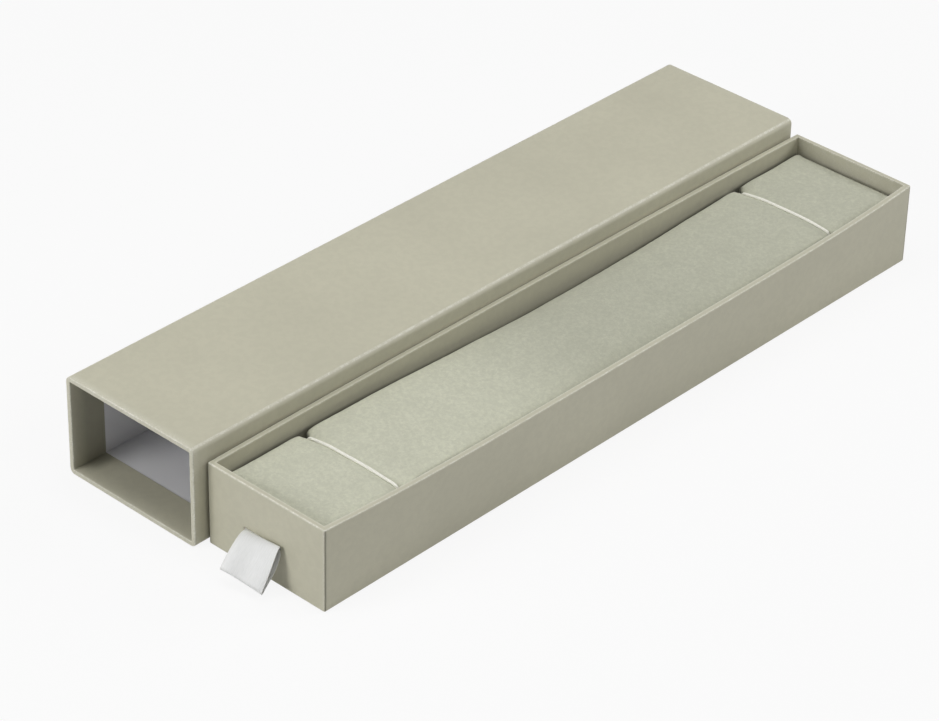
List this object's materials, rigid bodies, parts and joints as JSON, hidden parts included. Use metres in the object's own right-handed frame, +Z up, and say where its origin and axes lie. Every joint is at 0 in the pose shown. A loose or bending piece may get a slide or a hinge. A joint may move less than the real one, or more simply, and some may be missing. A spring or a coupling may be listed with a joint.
{
  "type": "gift box",
  "caption": "Long shallow paper-wrapped gift box: an open-fronted sleeve and its drawer beside it, with a ribbon pull and a cord-held velvet pad.",
  "frame": {"origin": "middle of the sleeve's base, on the table", "axes": "+Y along the box from the open mouth and the ribbon to the closed back, +X from the sleeve to the drawer beside it, +Z up"},
  "size_m": [0.0853, 0.2322, 0.029],
  "materials": {
    "wrap_paper": "satin",
    "base_paper": "matte",
    "lining_paper": "matte",
    "greyboard": "matte",
    "corner_tape": "matte",
    "satin_ribbon": "satin",
    "velvet": "matte",
    "foam": "matte",
    "elastic_cord": "matte"
  },
  "bodies": {
    "sleeve": {"sleeve_bottom_board": "greyboard", "sleeve_top_board": "greyboard", "sleeve_left_board": "greyboard", "sleeve_right_board": "greyboard", "sleeve_back_board": "greyboard", "sleeve_lining": "lining_paper", "sleeve_wrap": "wrap_paper", "sleeve_base_sheet": "base_paper"},
    "drawer": {"drawer_base_board": "greyboard", "drawer_front_board": "greyboard", "drawer_back_board": "greyboard", "drawer_left_board": "greyboard", "drawer_right_board": "greyboard", "front_left_corner_stay": "corner_tape", "front_right_corner_stay": "corner_tape", "back_left_corner_stay": "corner_tape", "back_right_corner_stay": "corner_tape", "drawer_wrap": "wrap_paper", "drawer_base_sheet": "base_paper", "ribbon_tails": "satin_ribbon"},
    "ribbon": {"ribbon_pull": "satin_ribbon"},
    "pad": {"pad_card": "greyboard", "pad_foam": "foam", "pad_cover": "velvet", "front_cord": "elastic_cord", "back_cord": "elastic_cord"}
  },
  "joints": [
    {"name": "drawer_slide", "type": "slide", "parent": "sleeve", "child": "drawer", "axis": [0, -1, 0], "range_m": [0, 0.222]},
    {"name": "pad_lift", "type": "slide", "parent": "drawer", "child": "pad", "axis": [0, 0, 1], "range_m": [0, 0.03]},
    {"name": "ribbon_hinge", "type": "hinge", "parent": "drawer", "child": "ribbon", "pos_m": [0.04185, -0.1089, 0.011], "axis": [-1, 0, 0], "range_deg": [-14, 70], "stiffness_Nm_per_rad": 0.00005}
  ]
}
